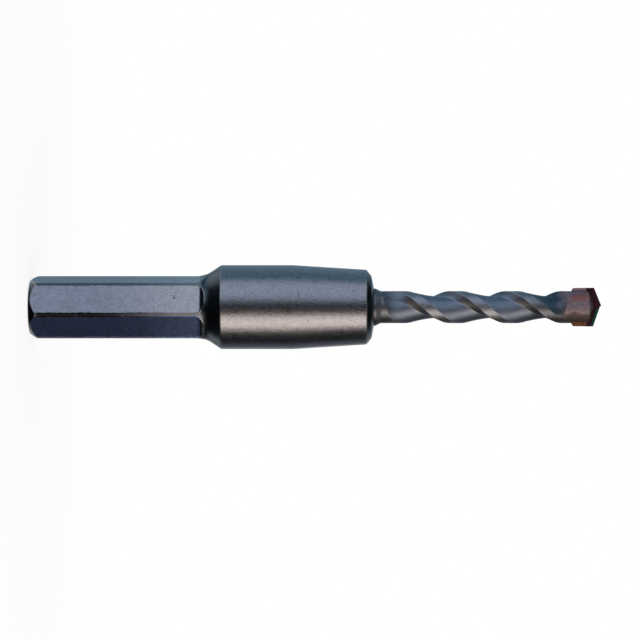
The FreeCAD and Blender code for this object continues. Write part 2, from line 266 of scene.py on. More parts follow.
def node_group(name, inputs, outputs, fill):
    """A shader node group, made once: fill gets its graph, its given and its wanted sockets."""
    if name in bpy.data.node_groups:
        return bpy.data.node_groups[name]
    tree = bpy.data.node_groups.new(name, "ShaderNodeTree")
    tree.interface.new_socket(inputs[0], in_out="INPUT", socket_type="NodeSocketVector")
    for socket, default in inputs[1:]:
        made = tree.interface.new_socket(socket, in_out="INPUT", socket_type="NodeSocketFloat")
        made.default_value = default
    for socket, kind in outputs:
        tree.interface.new_socket(socket, in_out="OUTPUT", socket_type=kind)
    graph = Graph(tree)
    start = graph.add("NodeGroupInput")
    end = graph.add("NodeGroupOutput")
    fill(graph, start.outputs, end.inputs)
    return tree


def axis_place_group():
    """Millimetres up the axis and out from it, and the bearing round it in degrees."""

    def fill(graph, given, wanted):
        place = graph.scaled(given["Vector"], 1 / MM)
        x, y, z = graph.add("ShaderNodeSeparateXYZ", ((0, place),)).outputs
        out = graph.math("SQRT", graph.plus(graph.times(x, x), graph.times(y, y)))
        graph.feed(wanted["Place"], place)
        graph.feed(wanted["Height"], z)
        graph.feed(wanted["Radius"], out)
        graph.feed(wanted["Bearing"], graph.math("DEGREES", graph.math("ARCTAN2", y, x)))

    return node_group(
        "axis_place", ("Vector",),
        (("Place", "NodeSocketVector"), ("Height", "NodeSocketFloat"),
         ("Radius", "NodeSocketFloat"), ("Bearing", "NodeSocketFloat")), fill)


def grain_group():
    """Satin grain of worked steel: a coarse and a fine mottle, and the height they stand for."""

    def fill(graph, given, wanted):
        coarse = graph.noise(given["Place"], given["Coarse"], detail=4.0, roughness=0.6)
        fine = graph.noise(given["Place"], given["Fine"], detail=2.0, roughness=0.6)
        graph.feed(wanted["Mottle"], graph.mix_value(0.6, coarse, fine))
        graph.feed(wanted["Height"], graph.mix_value(0.8, coarse, fine))

    return node_group(
        "satin_grain", ("Place", ("Coarse", 1.2), ("Fine", 4.0)),
        (("Mottle", "NodeSocketFloat"), ("Height", "NodeSocketFloat")), fill)


def pits_group():
    """Small scattered pits: 1 in a pit and 0 outside."""
    rim = 0.6

    def fill(graph, given, wanted):
        cells = graph.add("ShaderNodeTexVoronoi")
        graph.feed(cells.inputs["Vector"], given["Place"])
        graph.feed(cells.inputs["Scale"], graph.math("DIVIDE", 1.0, given["Spacing"]))
        reach = graph.math("DIVIDE", given["Size"], given["Spacing"])
        inside = graph.opposite(graph.math("DIVIDE", cells.outputs["Distance"], reach))
        chance = graph.add("ShaderNodeSeparateColor", ((0, cells.outputs["Color"]),)).outputs[0]
        chosen = graph.math("LESS_THAN", chance, given["Share"])
        graph.feed(wanted["Mask"], graph.times(graph.step(inside, 0.0, rim), chosen))

    return node_group(
        "pits", ("Place", ("Spacing", 1.5), ("Share", 0.3), ("Size", 0.12)),
        (("Mask", "NodeSocketFloat"),), fill)


def bare_and_highlit_edge_group():
    """Bare worn metal and painted highlight along an edge, broken up by noise."""
    least, growth = 0.2, 1.6
    full_strength = 0.35

    def fill(graph, given, wanted):
        noise = graph.noise(given["Place"], 2.2, detail=3.0, roughness=0.6)
        width = graph.times(given["Width"], graph.line(noise, growth, least))
        away = graph.math("DIVIDE", graph.math("ABSOLUTE", given["Distance"]), width)
        graph.feed(wanted["Mask"], graph.step(away, 1.0, full_strength))

    return node_group(
        "bare_and_highlit_edge", ("Place", ("Distance", 0.0), ("Width", 0.1)),
        (("Mask", "NodeSocketFloat"),), fill)


def empty_material(name):
    """A material with nothing in it but its output."""
    material = bpy.data.materials.new(name)
    material.use_nodes = True
    material.node_tree.nodes.clear()
    graph = Graph(material.node_tree)
    output = graph.add("ShaderNodeOutputMaterial")
    return material, graph, output.inputs["Surface"]


def metal(name):
    """A metal: its material, graph and Principled shader, and its place on the axis."""
    material, graph, surface = empty_material(name)
    shader = graph.add("ShaderNodeBsdfPrincipled")
    graph.feed(surface, shader.outputs["BSDF"])
    shader.inputs["Metallic"].default_value = 1.0
    coordinates = graph.add("ShaderNodeTexCoord")
    place = graph.group(axis_place_group(), vector=coordinates.outputs["Object"])
    return material, graph, shader, place


def grain_of(graph, place, coarse, fine):
    """The mottle and the height of a satin grain, both about 0.5."""
    grain = graph.group(grain_group(), place=place["Place"], coarse=coarse, fine=fine)
    return grain["Mottle"], grain["Height"]


def wear_and_highlight(graph, place, distance, width):
    """The mask of edge wear and painted edge highlight for a distance from an edge, in millimetres."""
    return graph.group(bare_and_highlit_edge_group(), place=place["Place"], distance=distance, width=width)["Mask"]


def pitted(graph, place, spacing, share, size):
    """The mask of scattered pits, sizes in millimetres."""
    pits = graph.group(pits_group(), place=place["Place"], spacing=spacing, share=share, size=size)
    return pits["Mask"]


def bumps(graph, shader, layers):
    """Chain one bump for each height, with its depth in millimetres, into the shader's normal."""
    normal = None
    for height, depth in layers:
        node = graph.add(
            "ShaderNodeBump", (("Height", height), ("Distance", depth * MM), ("Strength", 1.0)))
        if normal is not None:
            graph.feed(node.inputs["Normal"], normal)
        normal = node.outputs["Normal"]
    graph.feed(shader.inputs["Normal"], normal)


def picture_angle(graph, place):
    """Degrees round the axis from the side that the photograph shows, up the picture."""
    away = graph.minus(CAMERA_BEARING + 180, place["Bearing"])
    return graph.minus(graph.math("FLOORED_MODULO", away, 360.0), 180.0)


def lathe_lines(graph, height, pitch):
    """Fine rings round the axis, one for each pitch in millimetres."""
    return graph.math("SINE", graph.times(height, 2 * math.pi / pitch))


# Colours that marks on the body have, whatever its steel.
PIT_COLOUR = (0.03, 0.028, 0.03)
# Painted glints: bright specks that stand in for sparkles of light.
PAINTED_GLINT_COLOUR = (0.6, 0.58, 0.56)
MARK_COLOUR = (0.04, 0.05, 0.07)
# Worn bare steel and painted edge highlight on the body's edges.
BARE_AND_HIGHLIGHT_COLOUR = (0.40, 0.38, 0.38)
# Painted cool reflection: one flat's colour is multiplied by this blue.
PAINTED_COOL_REFLECTION = (0.6, 0.85, 1.5)

# Pits, bright specks painted as glints, and nicks: millimetres from one to the next, share that is
# there, and size.
PITS = (1.2, 0.22, 0.2)
PAINTED_GLINTS = (3.1, 0.32, 0.2)
NICKS = (0.5, 0.7, 0.3)
DRILL_PITS = (1.6, 0.3, 0.16)

# Where the nicks stand, up the axis and across a flat: from, to and softness.
NICKED_HEIGHTS = (30.3, 31.1, 0.4)
NICKED_WIDTH = (-2.0, 1.0, 0.6)

# Milling lines in millimetres: radius of the arcs and pitch, then of the fainter ones that cross
# them, the arcs' middle on the front flat and its shift to the next flat and to the crossing ones.
ARC_RADIUS, ARC_PITCH = 16.5, 0.52
CROSSING_RADIUS, CROSSING_PITCH = 21.0, 0.47
ARC_MIDDLE = 15.8
FLAT_SHIFT = 2.3
CROSSING_SHIFT = 9.0
CROSSING_SHARE = 0.25

# Heights from which and to which a finish comes in: upwards, or downwards where the second is
# the lower.
SHANK_BELOW = (SHOULDER_FOOT + 0.6, SHOULDER_FOOT - 0.2)
MILLED_BELOW = (31.0, 26.0)
SKIN_THINS = (15.0, 36.0)
CLEAN_FLATS = (14.0, 35.0)
# Where the painted cool reflection on one flat grows paler.
COOL_REFLECTION_PALES = (22.0, 36.0)
OXIDE_BELOW = (COLLAR_START, COLLAR_START - 0.12)
OXIDE_ABOVE = (NOSE_START + 0.02, NOSE_START + 0.1)
TURNED_STEEL = (COLLAR_START, COLLAR_START + 0.3)
END_RIM = (2.2, 1.5)
FLAT_RIM = (CHAMFER_TOP, CHAMFER_TOP - 0.2)

# How near to a flat and to the cutter's surface a place belongs to it, how long the run-out stays
# clean, and where the bar's skin begins, in millimetres.
ON_FLAT = (0.05, 0.02)
ON_CUT = (0.04, 0.02)
CLEAN_RUN_OUT = 0.85
ON_BAR = (BAR_RADIUS - 0.10, BAR_RADIUS - 0.03)

# Bare edges, worn and with a painted highlight, in millimetres: the turned ones' heights, and how wide
# the wear and highlight are there and on the bar.
TURNED_EDGES = (COLLAR_START + 0.07, NOSE_START - 0.05)
TURNED_EDGE_WIDTH = 0.06
BAR_EDGE_WIDTH = 0.08

# Roughness of the milled flats, of the flat with the painted cool reflection beyond that, and of the
# corners.
FLAT_ROUGHNESS = 0.25
COOL_REFLECTION_FLAT_ROUGHER = 0.06
CORNER_ROUGHNESS = 0.5

# Where the flats are round the axis, in degrees: the front one's bearing, and from one to the next.
FRONT_FLAT = -90.0
FLAT_TURN = 60.0

# The unmilled corners: how far their borders wander and how much wider the heavy one is, in
# millimetres, and how much lighter the skin of the others is.
BORDER_WANDER = 0.24
HEAVY_EXTRA = 0.05
THIN_SKIN = 9.0

# Bumps of the body, in millimetres.
GRAIN_DEPTH = 0.055
MILLING_DEPTH = 0.0025
TURNING_DEPTH = 0.001
PIT_DEPTH = 0.03
CORNER_DEPTH = 0.05
TURNING_PITCH = 0.17

# The turning mark at the taper: height and its width, and place up the picture in degrees.
MARK_HEIGHT = (TAPER_START + 1.2, 0.35)
MARK_ANGLE = (17.0, 13.0)


def milling_arcs(graph, along, across, radius, pitch):
    """Lines that a face mill leaves: arcs of one radius, stepped across the flat."""
    inside = graph.minus(radius ** 2, graph.times(along, along))
    sag = graph.math("SQRT", graph.most(inside, 1.0))
    phase = graph.math("DIVIDE", graph.plus(across, sag), pitch)
    return graph.math("SINE", graph.times(phase, 2 * math.pi))


def milling_lines(graph, place, index, across):
    """Strong arcs over most of a flat, and faint ones that cross them."""
    height = place["Height"]
    middle = graph.line(index, FLAT_SHIFT, ARC_MIDDLE)
    arcs = milling_arcs(graph, graph.minus(height, middle), across, ARC_RADIUS, ARC_PITCH)
    crossing_middle = graph.plus(middle, CROSSING_SHIFT)
    crossing = milling_arcs(
        graph, graph.minus(height, crossing_middle), across, CROSSING_RADIUS, CROSSING_PITCH)
    patchy = graph.step(graph.noise(place["Place"], 0.4, detail=2.0), 0.15, 0.5)
    lines = graph.mix_value(CROSSING_SHARE, arcs, crossing)
    return graph.times(lines, patchy, graph.step(height, *MILLED_BELOW))


def cutter_distance(graph, height, depth):
    """How far a place is outside the cutter whose side left a round end on each flat."""
    into_cut = graph.minus(HALF_FLATS + CUTTER_RADIUS, depth)
    past_flat = graph.minus(height, FLATS_TOP)
    square = graph.plus(graph.times(into_cut, into_cut), graph.times(past_flat, past_flat))
    return graph.minus(graph.math("SQRT", square), CUTTER_RADIUS)


def bright_edges(graph, place, depth, outside_cut, ragged):
    """Worn bare steel and painted edge highlights, thin and broken, at the collar, the nose and both
    ends of the flats.
    """
    height = place["Height"]
    turned = 0.0
    for edge in TURNED_EDGES:
        turned = graph.most(turned, wear_and_highlight(graph, place, graph.minus(height, edge), TURNED_EDGE_WIDTH))
    turned = graph.times(turned, graph.step(ragged, 0.35, 0.55))
    bar_rim = wear_and_highlight(graph, place, graph.minus(place["Radius"], BAR_RADIUS - 0.06), BAR_EDGE_WIDTH)
    bar_rim = graph.times(bar_rim, graph.step(height, *END_RIM))
    flat_rim = graph.between(depth, HALF_FLATS - 0.13, HALF_FLATS - 0.03, soft=0.02)
    flat_rim = graph.times(flat_rim, graph.step(height, *FLAT_RIM))
    cut_rim = graph.times(
        graph.between(outside_cut, 0.03, 0.10, soft=0.02),
        graph.between(height, FLATS_TOP + 0.2, FLATS_TOP + 2.6, soft=0.2))
    return graph.most(turned, bar_rim, flat_rim, cut_rim)


def make_body_steel(settings):
    """Steel of the body: milled flats, dark ragged corners, turned collar and taper."""
    material, graph, shader, place = metal("arbor_body_steel")
    height = place["Height"]
    radius = place["Radius"]
    mottle, grain = grain_of(graph, place, coarse=1.1, fine=3.2)

    # Each flat has its own number, and a place across it from the bearing of its middle.
    sixth = graph.math("DIVIDE", graph.minus(place["Bearing"], FRONT_FLAT), FLAT_TURN)
    index = graph.math("ROUND", sixth)
    turn = graph.math("RADIANS", graph.times(graph.minus(sixth, index), FLAT_TURN))
    across = graph.times(radius, graph.math("SINE", turn))
    depth = graph.times(radius, graph.math("COSINE", turn))
    shank = graph.step(height, *SHANK_BELOW)
    off_flat = graph.math("ABSOLUTE", graph.minus(depth, HALF_FLATS))
    flat = graph.times(graph.step(off_flat, *ON_FLAT), shank)

    # The cutter's round run-out is as clean as the flat at first.
    outside_cut = cutter_distance(graph, height, depth)
    on_cut = graph.step(graph.math("ABSOLUTE", outside_cut), *ON_CUT)
    run_out = graph.times(on_cut, graph.between(height, FLATS_TOP, FLATS_TOP + CLEAN_RUN_OUT, soft=0.1))
    flat = graph.most(flat, run_out)
    milling = graph.times(milling_lines(graph, place, index, across), flat)

    # The unmilled corners have ragged borders and a dark skin that thins near the shoulder.
    # The one below the front flat in the picture is wider and darkest.
    ragged = graph.noise(place["Place"], 1.3, detail=4.0, roughness=0.65)
    heavy = graph.math("COMPARE", graph.math("FLOOR", sixth), 0.0, 0.5)
    reach = graph.line(graph.minus(ragged, 0.5), BORDER_WANDER, radius)
    reach = graph.line(heavy, HEAVY_EXTRA, reach)
    corner = graph.times(graph.step(reach, *ON_BAR), shank)
    thinned = graph.faded(graph.step(height, *SKIN_THINS), share=0.7)
    skin = graph.times(corner, thinned, graph.step(ragged, 0.1, 0.4))
    skin_colour = graph.mix(heavy, graph.scaled(settings.scale, THIN_SKIN), settings.scale)

    # The milled steel is cleaner towards the shoulder, and one flat has a painted cool reflection that
    # makes it bluer than the others.
    milled = graph.mix(graph.step(height, *CLEAN_FLATS), settings.milled, settings.clean)
    milled = graph.scaled(milled, graph.line(milling, 0.17, 1.0))
    on_cool_reflection_flat = graph.math("COMPARE", index, 1.0, 0.5)
    blue = graph.scaled(PAINTED_COOL_REFLECTION, graph.line(graph.step(height, *COOL_REFLECTION_PALES), 0.6, 1.0))
    milled = graph.mix(on_cool_reflection_flat, milled, blue, "MULTIPLY")
    colour = graph.mottled(graph.mix(flat, settings.steel, milled), mottle, spread=1.5)

    # The shoulder, the end chamfer and the nose keep a dark oxide.
    oxide = graph.most(graph.step(height, *OXIDE_BELOW), graph.step(height, *OXIDE_ABOVE))
    oxide = graph.times(oxide, graph.opposite(flat), graph.opposite(corner))
    colour = graph.cover(colour, oxide, 0.85, settings.shoulder)
    colour = graph.mix(skin, colour, skin_colour)

    # Pits, a few bright specks painted as glints, and nicks across the flats near the shoulder.
    turned_part = graph.step(height, *TURNED_STEEL)
    pits = graph.times(pitted(graph, place, *PITS), graph.opposite(oxide))
    pits = graph.times(pits, graph.line(turned_part, 0.6, 0.4))
    glints = graph.times(pitted(graph, place, *PAINTED_GLINTS), turned_part)
    nicks = graph.times(pitted(graph, place, *NICKS), graph.between(height, *NICKED_HEIGHTS))
    nicks = graph.times(nicks, flat, graph.between(across, *NICKED_WIDTH))
    colour = graph.mix(graph.most(graph.times(pits, 0.55), graph.times(nicks, 0.9)), colour, PIT_COLOUR)
    colour = graph.cover(colour, glints, 0.7, PAINTED_GLINT_COLOUR)

    # A short turning mark stands where the taper begins, on the side that the photograph shows.
    mark = graph.times(
        graph.near(height, *MARK_HEIGHT), graph.near(picture_angle(graph, place), *MARK_ANGLE))
    colour = graph.cover(colour, mark, 0.45, MARK_COLOUR)
    # The edges are painted lighter: worn bare steel and painted edge highlight.
    edges = bright_edges(graph, place, depth, outside_cut, ragged)
    colour = graph.cover(colour, edges, 0.55, BARE_AND_HIGHLIGHT_COLOUR)
    graph.feed(shader.inputs["Base Color"], colour)

    flat_rough = graph.varied(FLAT_ROUGHNESS, mottle, spread=0.12)
    flat_rough = graph.line(on_cool_reflection_flat, COOL_REFLECTION_FLAT_ROUGHER, flat_rough)
    rough = graph.mix_value(flat, graph.varied(settings.roughness, mottle, spread=0.16), flat_rough)
    rough = graph.mix_value(corner, rough, CORNER_ROUGHNESS)
    graph.feed(shader.inputs["Roughness"], rough)

    turning = graph.times(lathe_lines(graph, height, TURNING_PITCH), graph.opposite(flat))
    bumps(graph, shader, (
        (graph.times(grain, graph.faded(oxide, share=0.7)), GRAIN_DEPTH),
        (milling, MILLING_DEPTH),
        (graph.times(turning, graph.noise(place["Place"], 0.8)), TURNING_DEPTH),
        (graph.times(graph.most(pits, nicks), -1.0), PIT_DEPTH),
        (graph.times(corner, ragged), CORNER_DEPTH),
    ))
    return material


# The drill's finish: heights between which its colour is darker beside the nose, dark where the flutes
# end, blue from the heat, and oxidised on the head.
DARKER_AT_NOSE = (78.2, 74.8)
DARK_AT_HEAD = (103.0, 110.0)
BLUE_TINT = (106.0, 110.5)
OXIDISED = (110.9, 114.4)
DRILL_GRAIN_DEPTH = 0.012

# Roughness of the drill's lands, its flutes, their bright edges and the head.
LAND_ROUGHNESS = 0.44
FLUTE_ROUGHNESS = 0.50
EDGE_ROUGHNESS = 0.38
HEAD_ROUGHNESS = 0.68

# How far a cloud moves the stains' borders, in millimetres up the drill and in degrees round it.
CLOUD_RISE = 3.0
CLOUD_TURN = 30.0

# The part of a flute's flank painted dark as shade, in degrees back from the leading edge: from, to,
# softness.
FLANK_ANGLES = (ROOT_ANGLE + 14, 178.0, 4.0)

# Stains on the head, in degrees up the picture and repeated on its far side: from, to, softness.
COPPER_ANGLES = (20.0, 54.0, 7.0)
COPPER_HEIGHTS = (114.7, 118.1, 0.9)
FLUX_ANGLES = (-70.0, -24.0, 7.0)


def flute_masks(graph, place):
    """Where a flute is, the painted highlights along its edges, and the painted shade on its steep
    flank.
    """
    height = place["Height"]
    radius = place["Radius"]
    wound = graph.line(graph.minus(height, FLUTE_START), 360 / HELIX_LEAD, LEADING_EDGE)
    back = graph.math("FLOORED_MODULO", graph.minus(wound, place["Bearing"]), 180.0)
    to_lead = graph.math("MINIMUM", back, graph.minus(180.0, back))
    arc = graph.times(graph.math("RADIANS", to_lead), radius)
    root = graph.times(graph.math("RADIANS", graph.minus(back, ROOT_ANGLE)), radius)
    fluted = graph.between(height, FLUTE_START + 0.6, FLUTE_END - 0.3, soft=0.5)
    outer = graph.step(radius, DRILL_RADIUS - 0.45, DRILL_RADIUS - 0.1)
    inner = graph.step(radius, DRILL_RADIUS - 0.5, DRILL_RADIUS - 0.8)
    in_flute = graph.step(radius, DRILL_RADIUS - 0.02, DRILL_RADIUS - 0.1)
    # Painted highlights: light lines along each flute's leading edge and its root crease.
    lead_line = graph.times(wear_and_highlight(graph, place, arc, width=0.12), outer)
    root_line = graph.times(wear_and_highlight(graph, place, root, width=0.11), inner)
    lines = graph.times(graph.most(lead_line, root_line), fluted)
    flank_shade = graph.times(graph.between(back, *FLANK_ANGLES), fluted, in_flute)
    return in_flute, lines, flank_shade


def head_colour(graph, place, settings, cloud, warmth):
    """Oxide on the head, with copper and flux that ran over it when the plate was brazed."""
    angle = graph.line(cloud, CLOUD_TURN, picture_angle(graph, place))
    half = graph.minus(graph.math("FLOORED_MODULO", graph.plus(angle, 90.0), 180.0), 90.0)
    copper = graph.times(graph.between(half, *COPPER_ANGLES), graph.between(warmth, *COPPER_HEIGHTS))
    flux = graph.between(half, *FLUX_ANGLES)
    patches = graph.step(graph.noise(place["Place"], 1.6, detail=3.0), 0.35, 0.65)
    tint = graph.cover(settings.head, patches, 0.35, settings.flux)
    tint = graph.cover(tint, copper, 0.85, settings.copper)
    return graph.cover(tint, flux, 0.85, settings.flux)


def make_drill_steel(settings):
    """Steel of the pilot drill: ground lands, duller flutes, painted edge highlights and flank shade, a
    heat-tinted head.
    """
    material, graph, shader, place = metal("pilot_drill_steel")
    height = place["Height"]
    mottle, grain = grain_of(graph, place, coarse=1.5, fine=4.0)
    in_flute, lines, flank_shade = flute_masks(graph, place)
    colour = graph.mix(in_flute, settings.land, settings.flute)
    # Painted shade darkens each flute's steep flank.
    colour = graph.cover(colour, flank_shade, 0.75, settings.flank_shade)
    colour = graph.mottled(colour, mottle, spread=0.9)
    # Painted highlights light the edges of the flutes.
    colour = graph.cover(colour, lines, 0.65, settings.edge_highlight)

    # The colour is darker beside the nose, and darker where the flutes end.
    nose_darkening = graph.faded(graph.step(height, *DARKER_AT_NOSE), share=0.42)
    dark = graph.faded(graph.step(height, *DARK_AT_HEAD), share=0.45)
    colour = graph.scaled(colour, graph.times(nose_darkening, dark))

    # Brazing left a blue tint where the flutes end, and oxide, copper and flux on the head. A
    # cloud moves their borders up and down the drill.
    cloud = graph.minus(graph.noise(place["Place"], 0.6, detail=3.0), 0.5)
    warmth = graph.line(cloud, CLOUD_RISE, height)
    blue = graph.times(graph.step(warmth, *BLUE_TINT), in_flute)
    colour = graph.cover(colour, blue, 0.8, settings.quench)
    headed = graph.step(warmth, *OXIDISED)
    tint = graph.mottled(head_colour(graph, place, settings, cloud, warmth), mottle, spread=0.8)
    colour = graph.mix(headed, colour, tint)
    pits = pitted(graph, place, *DRILL_PITS)
    colour = graph.cover(colour, pits, 0.55, PIT_COLOUR)
    graph.feed(shader.inputs["Base Color"], colour)

    rough = graph.mix_value(in_flute, LAND_ROUGHNESS, FLUTE_ROUGHNESS)
    rough = graph.mix_value(lines, rough, EDGE_ROUGHNESS)
    rough = graph.mix_value(headed, rough, HEAD_ROUGHNESS)
    graph.feed(shader.inputs["Roughness"], graph.varied(rough, mottle, spread=0.16))
    bumps(graph, shader, ((grain, DRILL_GRAIN_DEPTH), (graph.times(pits, -1.0), PIT_DEPTH)))
    return material


# The tip's finish: the sheen and red patches of ground carbide, and braze dulled by heat; where
# the plate is coated, up the axis, and coppered, in degrees up the picture; how far up a facet
# faces to be coloured teal; roughness; and bumps in millimetres.
CARBIDE_SHEEN = (0.35, 0.55, 0.55, 1)
RED_CARBIDE = (0.14, 0.03, 0.045)
BURNT_BRAZE = (0.12, 0.07, 0.07)
COATED_BELOW = (118.0, 117.4)
COPPER_SIDE = (0.0, -40.0)
GROUND_FACETS = (0.3, 0.5)
GROUND_ROUGHNESS = 0.4
COATED_ROUGHNESS = 0.5
BRAZE_ROUGHNESS = 0.45
GRINDING_PITCH = 0.11
CARBIDE_GRAIN_DEPTH = 0.015
GRINDING_DEPTH = 0.0008
BRAZE_GRAIN_DEPTH = 0.04


def make_carbide(settings):
    """Carbide: near black where it is ground, an oxide film and copper where it was brazed."""
    material, graph, shader, place = metal("carbide_ground")
    height = place["Height"]
    mottle, grain = grain_of(graph, place, coarse=2.0, fine=6.0)
    cloud = graph.minus(graph.noise(place["Place"], 1.1, detail=3.0), 0.5)
    coated = graph.step(graph.line(cloud, 0.8, height), *COATED_BELOW)
    copper = graph.step(graph.line(cloud, 60.0, picture_angle(graph, place)), *COPPER_SIDE)
    fleck = graph.step(graph.noise(place["Place"], 4.5, detail=2.0), 0.5, 0.62)
    flecks = graph.line(fleck, 0.8, 0.5)
    film = graph.mix(copper, settings.film, graph.scaled(settings.copper, flecks))
    red = graph.step(graph.noise(place["Place"], 1.7, detail=2.0), 0.5, 0.7)
    colour = graph.cover(settings.carbide, red, 0.6, RED_CARBIDE)
    colour = graph.mix(coated, colour, film)

    # The facets that face up the axis are coloured a cool teal.
    shader.inputs["Specular Tint"].default_value = CARBIDE_SHEEN
    upright = graph.add("ShaderNodeTexCoord").outputs["Normal"]
    facing = graph.add("ShaderNodeSeparateXYZ", ((0, upright),)).outputs["Z"]
    colour = graph.mix(graph.step(facing, *GROUND_FACETS), colour, settings.facet)
    graph.feed(shader.inputs["Base Color"], graph.mottled(colour, mottle, spread=0.9))
    rough = graph.mix_value(coated, GROUND_ROUGHNESS, COATED_ROUGHNESS)
    graph.feed(shader.inputs["Roughness"], graph.varied(rough, mottle, spread=0.2))
    grinding = lathe_lines(graph, height, GRINDING_PITCH)
    bumps(graph, shader, ((grain, CARBIDE_GRAIN_DEPTH), (grinding, GRINDING_DEPTH)))
    return material


def make_braze(settings):
    """Brazing metal: copper, dulled by heat in patches."""
    material, graph, shader, place = metal("copper_braze")
    mottle, grain = grain_of(graph, place, coarse=2.5, fine=7.0)
    patches = graph.step(graph.noise(place["Place"], 1.4, detail=3.0), 0.4, 0.65)
    graph.feed(shader.inputs["Base Color"], graph.cover(settings.copper, patches, 0.6, BURNT_BRAZE))
    graph.feed(shader.inputs["Roughness"], graph.varied(BRAZE_ROUGHNESS, mottle, spread=0.3))
    bumps(graph, shader, ((grain, BRAZE_GRAIN_DEPTH),))
    return material


def dress(node, material):
    """Give a piece of the frame its finish."""
    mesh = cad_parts[node].data
    mesh.materials.clear()
    mesh.materials.append(material)


class ARBOR_OT_finish_body(bpy.types.Operator):
    """Give the turned and milled body its steel."""

    bl_idname = "arbor.finish_body"
    bl_label = "Finish the body"

    def execute(self, context):
        dress("arbor_body", make_body_steel(context.scene.arbor_steel))
        return {"FINISHED"}


class ARBOR_OT_finish_drill(bpy.types.Operator):
    """Give the pilot drill its steel, bright edges and heat tint."""

    bl_idname = "arbor.finish_drill"
    bl_label = "Finish the pilot drill"

    def execute(self, context):
        dress("pilot_drill", make_drill_steel(context.scene.arbor_drill))
        return {"FINISHED"}


class ARBOR_OT_finish_tip(bpy.types.Operator):
    """Give the carbide plate and its braze their finishes."""

    bl_idname = "arbor.finish_tip"
    bl_label = "Finish the tip"

    def execute(self, context):
        dress("carbide_tip", make_carbide(context.scene.arbor_tip))
        dress("braze_seam", make_braze(context.scene.arbor_tip))
        return {"FINISHED"}


# Cards round the axis, in metres and degrees: first and last bearing from the camera, up the
# picture, lowest and highest place, and brightness. Most of those towards the camera reach down to
# the dark ground card.
CARD_RADIUS = 0.34
CARD_FACET = 5
GROUND = -0.30
CARD_LOW = -0.13
CARD_HIGH = 0.37
ROUND_CARDS = (
    ("dark_camera_side", -25, 18, GROUND, CARD_HIGH, (0.01, 0.01, 0.012)),
    ("cool_side", 18, 76, GROUND, CARD_HIGH, (0.92, 1.0, 1.12)),
    ("teal_side", 76, 104, CARD_LOW, CARD_HIGH, (0.15, 0.29, 0.38)),
    ("teal_back", 104, 182, CARD_LOW, CARD_HIGH, (0.28, 0.42, 0.52)),
    ("dark_under_key", -62, -25, GROUND, CARD_LOW, (0.006, 0.006, 0.008)),
    ("dark_low_side", -120, -62, GROUND, CARD_HIGH, (0.02, 0.022, 0.026)),
    ("grey_low_back", -148, -120, CARD_LOW, CARD_HIGH, (0.20, 0.22, 0.24)),
    ("pale_low_back", -178, -148, CARD_LOW, CARD_HIGH, (0.55, 0.57, 0.58)),
)

# Level cards: how far towards the camera the middle stands, height, size, turn and brightness.
LEVEL_CARDS = (
    ("dark_ground", 0.599, GROUND - 0.005, 1.41, 18, (0.006, 0.006, 0.008)),
    ("dark_above", 0.0, 0.40, 0.56, 0, (0.02, 0.022, 0.024)),
)

# The one lamp: where its middle stands, how much of the round it fills in degrees, its colour, and
# the watts for each square metre that make it look as bright as a white card.
KEY_BEARING = -43.5
KEY_ARC = 37
KEY_COLOUR = (1.0, 0.73, 0.50)
WATTS_FOR_WHITE = 4

# The floor: its size, and how much it glows by itself, from the object's foot outwards.
WHITE = (1, 1, 1)
FLOOR_SIZE = 6
FLOOR_GLOW = (0.82, 1.0)
GLOW_GROWS = (0.02, 0.2)

# How bright the world is as light, where it is neither seen nor mirrored.
WORLD_LIGHT = 0.85

# The camera: lens in millimetres, and what the picture's middle shows, right and down in metres.
LENS = 146
MIDDLE_RIGHT = 0.0614
MIDDLE_DOWN = 0.00273
NEAREST, FARTHEST = 0.01, 50


def around(bearing, radius, height):
    """A point round the axis, its bearing in degrees from the camera, up the picture."""
    angle = math.radians(CAMERA_BEARING - bearing)
    return Vector((radius * math.cos(angle), radius * math.sin(angle), height))


def aligned(right, up, back):
    """The rotation that brings X, Y and Z to three directions."""
    return Matrix((right, up, back)).transposed().to_4x4()


def facing_axis(bearing, radius, height):
    """The place of a lamp that stands beside the axis and shines level at it."""
    place = around(bearing, radius, height)
    back = Vector((place.x, place.y, 0)).normalized()
    up = Vector((0, 0, 1))
    return Matrix.Translation(place) @ aligned(up.cross(back), up, back)


def put(name, data, matrix):
    """An object with its data, placed and linked to the scene."""
    made = bpy.data.objects.new(name, data)
    made.matrix_world = matrix
    bpy.context.scene.collection.objects.link(made)
    return made


def new_mesh(name, corners, faces):
    """A mesh from its corners and faces."""
    mesh = bpy.data.meshes.new(name)
    mesh.from_pydata(corners, [], faces)
    return mesh


def square_mesh(name, size):
    """A flat square in its own XY plane."""
    signs = ((-1, -1), (1, -1), (1, 1), (-1, 1))
    corners = [(x * size / 2, y * size / 2, 0) for x, y in signs]
    return new_mesh(name, corners, [(0, 1, 2, 3)])


def round_mesh(name, first, last, low, high):
    """A curved strip round the axis, between two bearings from the camera and two heights."""
    steps = math.ceil((last - first) / CARD_FACET)
    corners = []
    for number in range(steps + 1):
        bearing = first + (last - first) * number / steps
        corners.append(around(bearing, CARD_RADIUS, low))
        corners.append(around(bearing, CARD_RADIUS, high))
    faces = [(2 * n, 2 * n + 1, 2 * n + 3, 2 * n + 2) for n in range(steps)]
    return new_mesh(name, corners, faces)


def reflected_card(mesh, colour, matrix):
    """A card that only reflections see, at the brightness of its colour."""
    material, graph, surface = empty_material(mesh.name)
    glow = graph.add("ShaderNodeEmission", (("Color", colour), ("Strength", 1.0)))
    graph.feed(surface, glow.outputs[0])
    mesh.materials.append(material)
    card = put(mesh.name, mesh, matrix)
    card.visible_camera = False
    card.visible_diffuse = False
    card.visible_shadow = False


def seen_or_mirrored(graph):
    """1 for what the camera sees, also in a mirror or through glass, and 0 for plain light."""
    path = graph.add("ShaderNodeLightPath").outputs
    return graph.most(path["Is Camera Ray"], path["Is Glossy Ray"], path["Is Transmission Ray"])


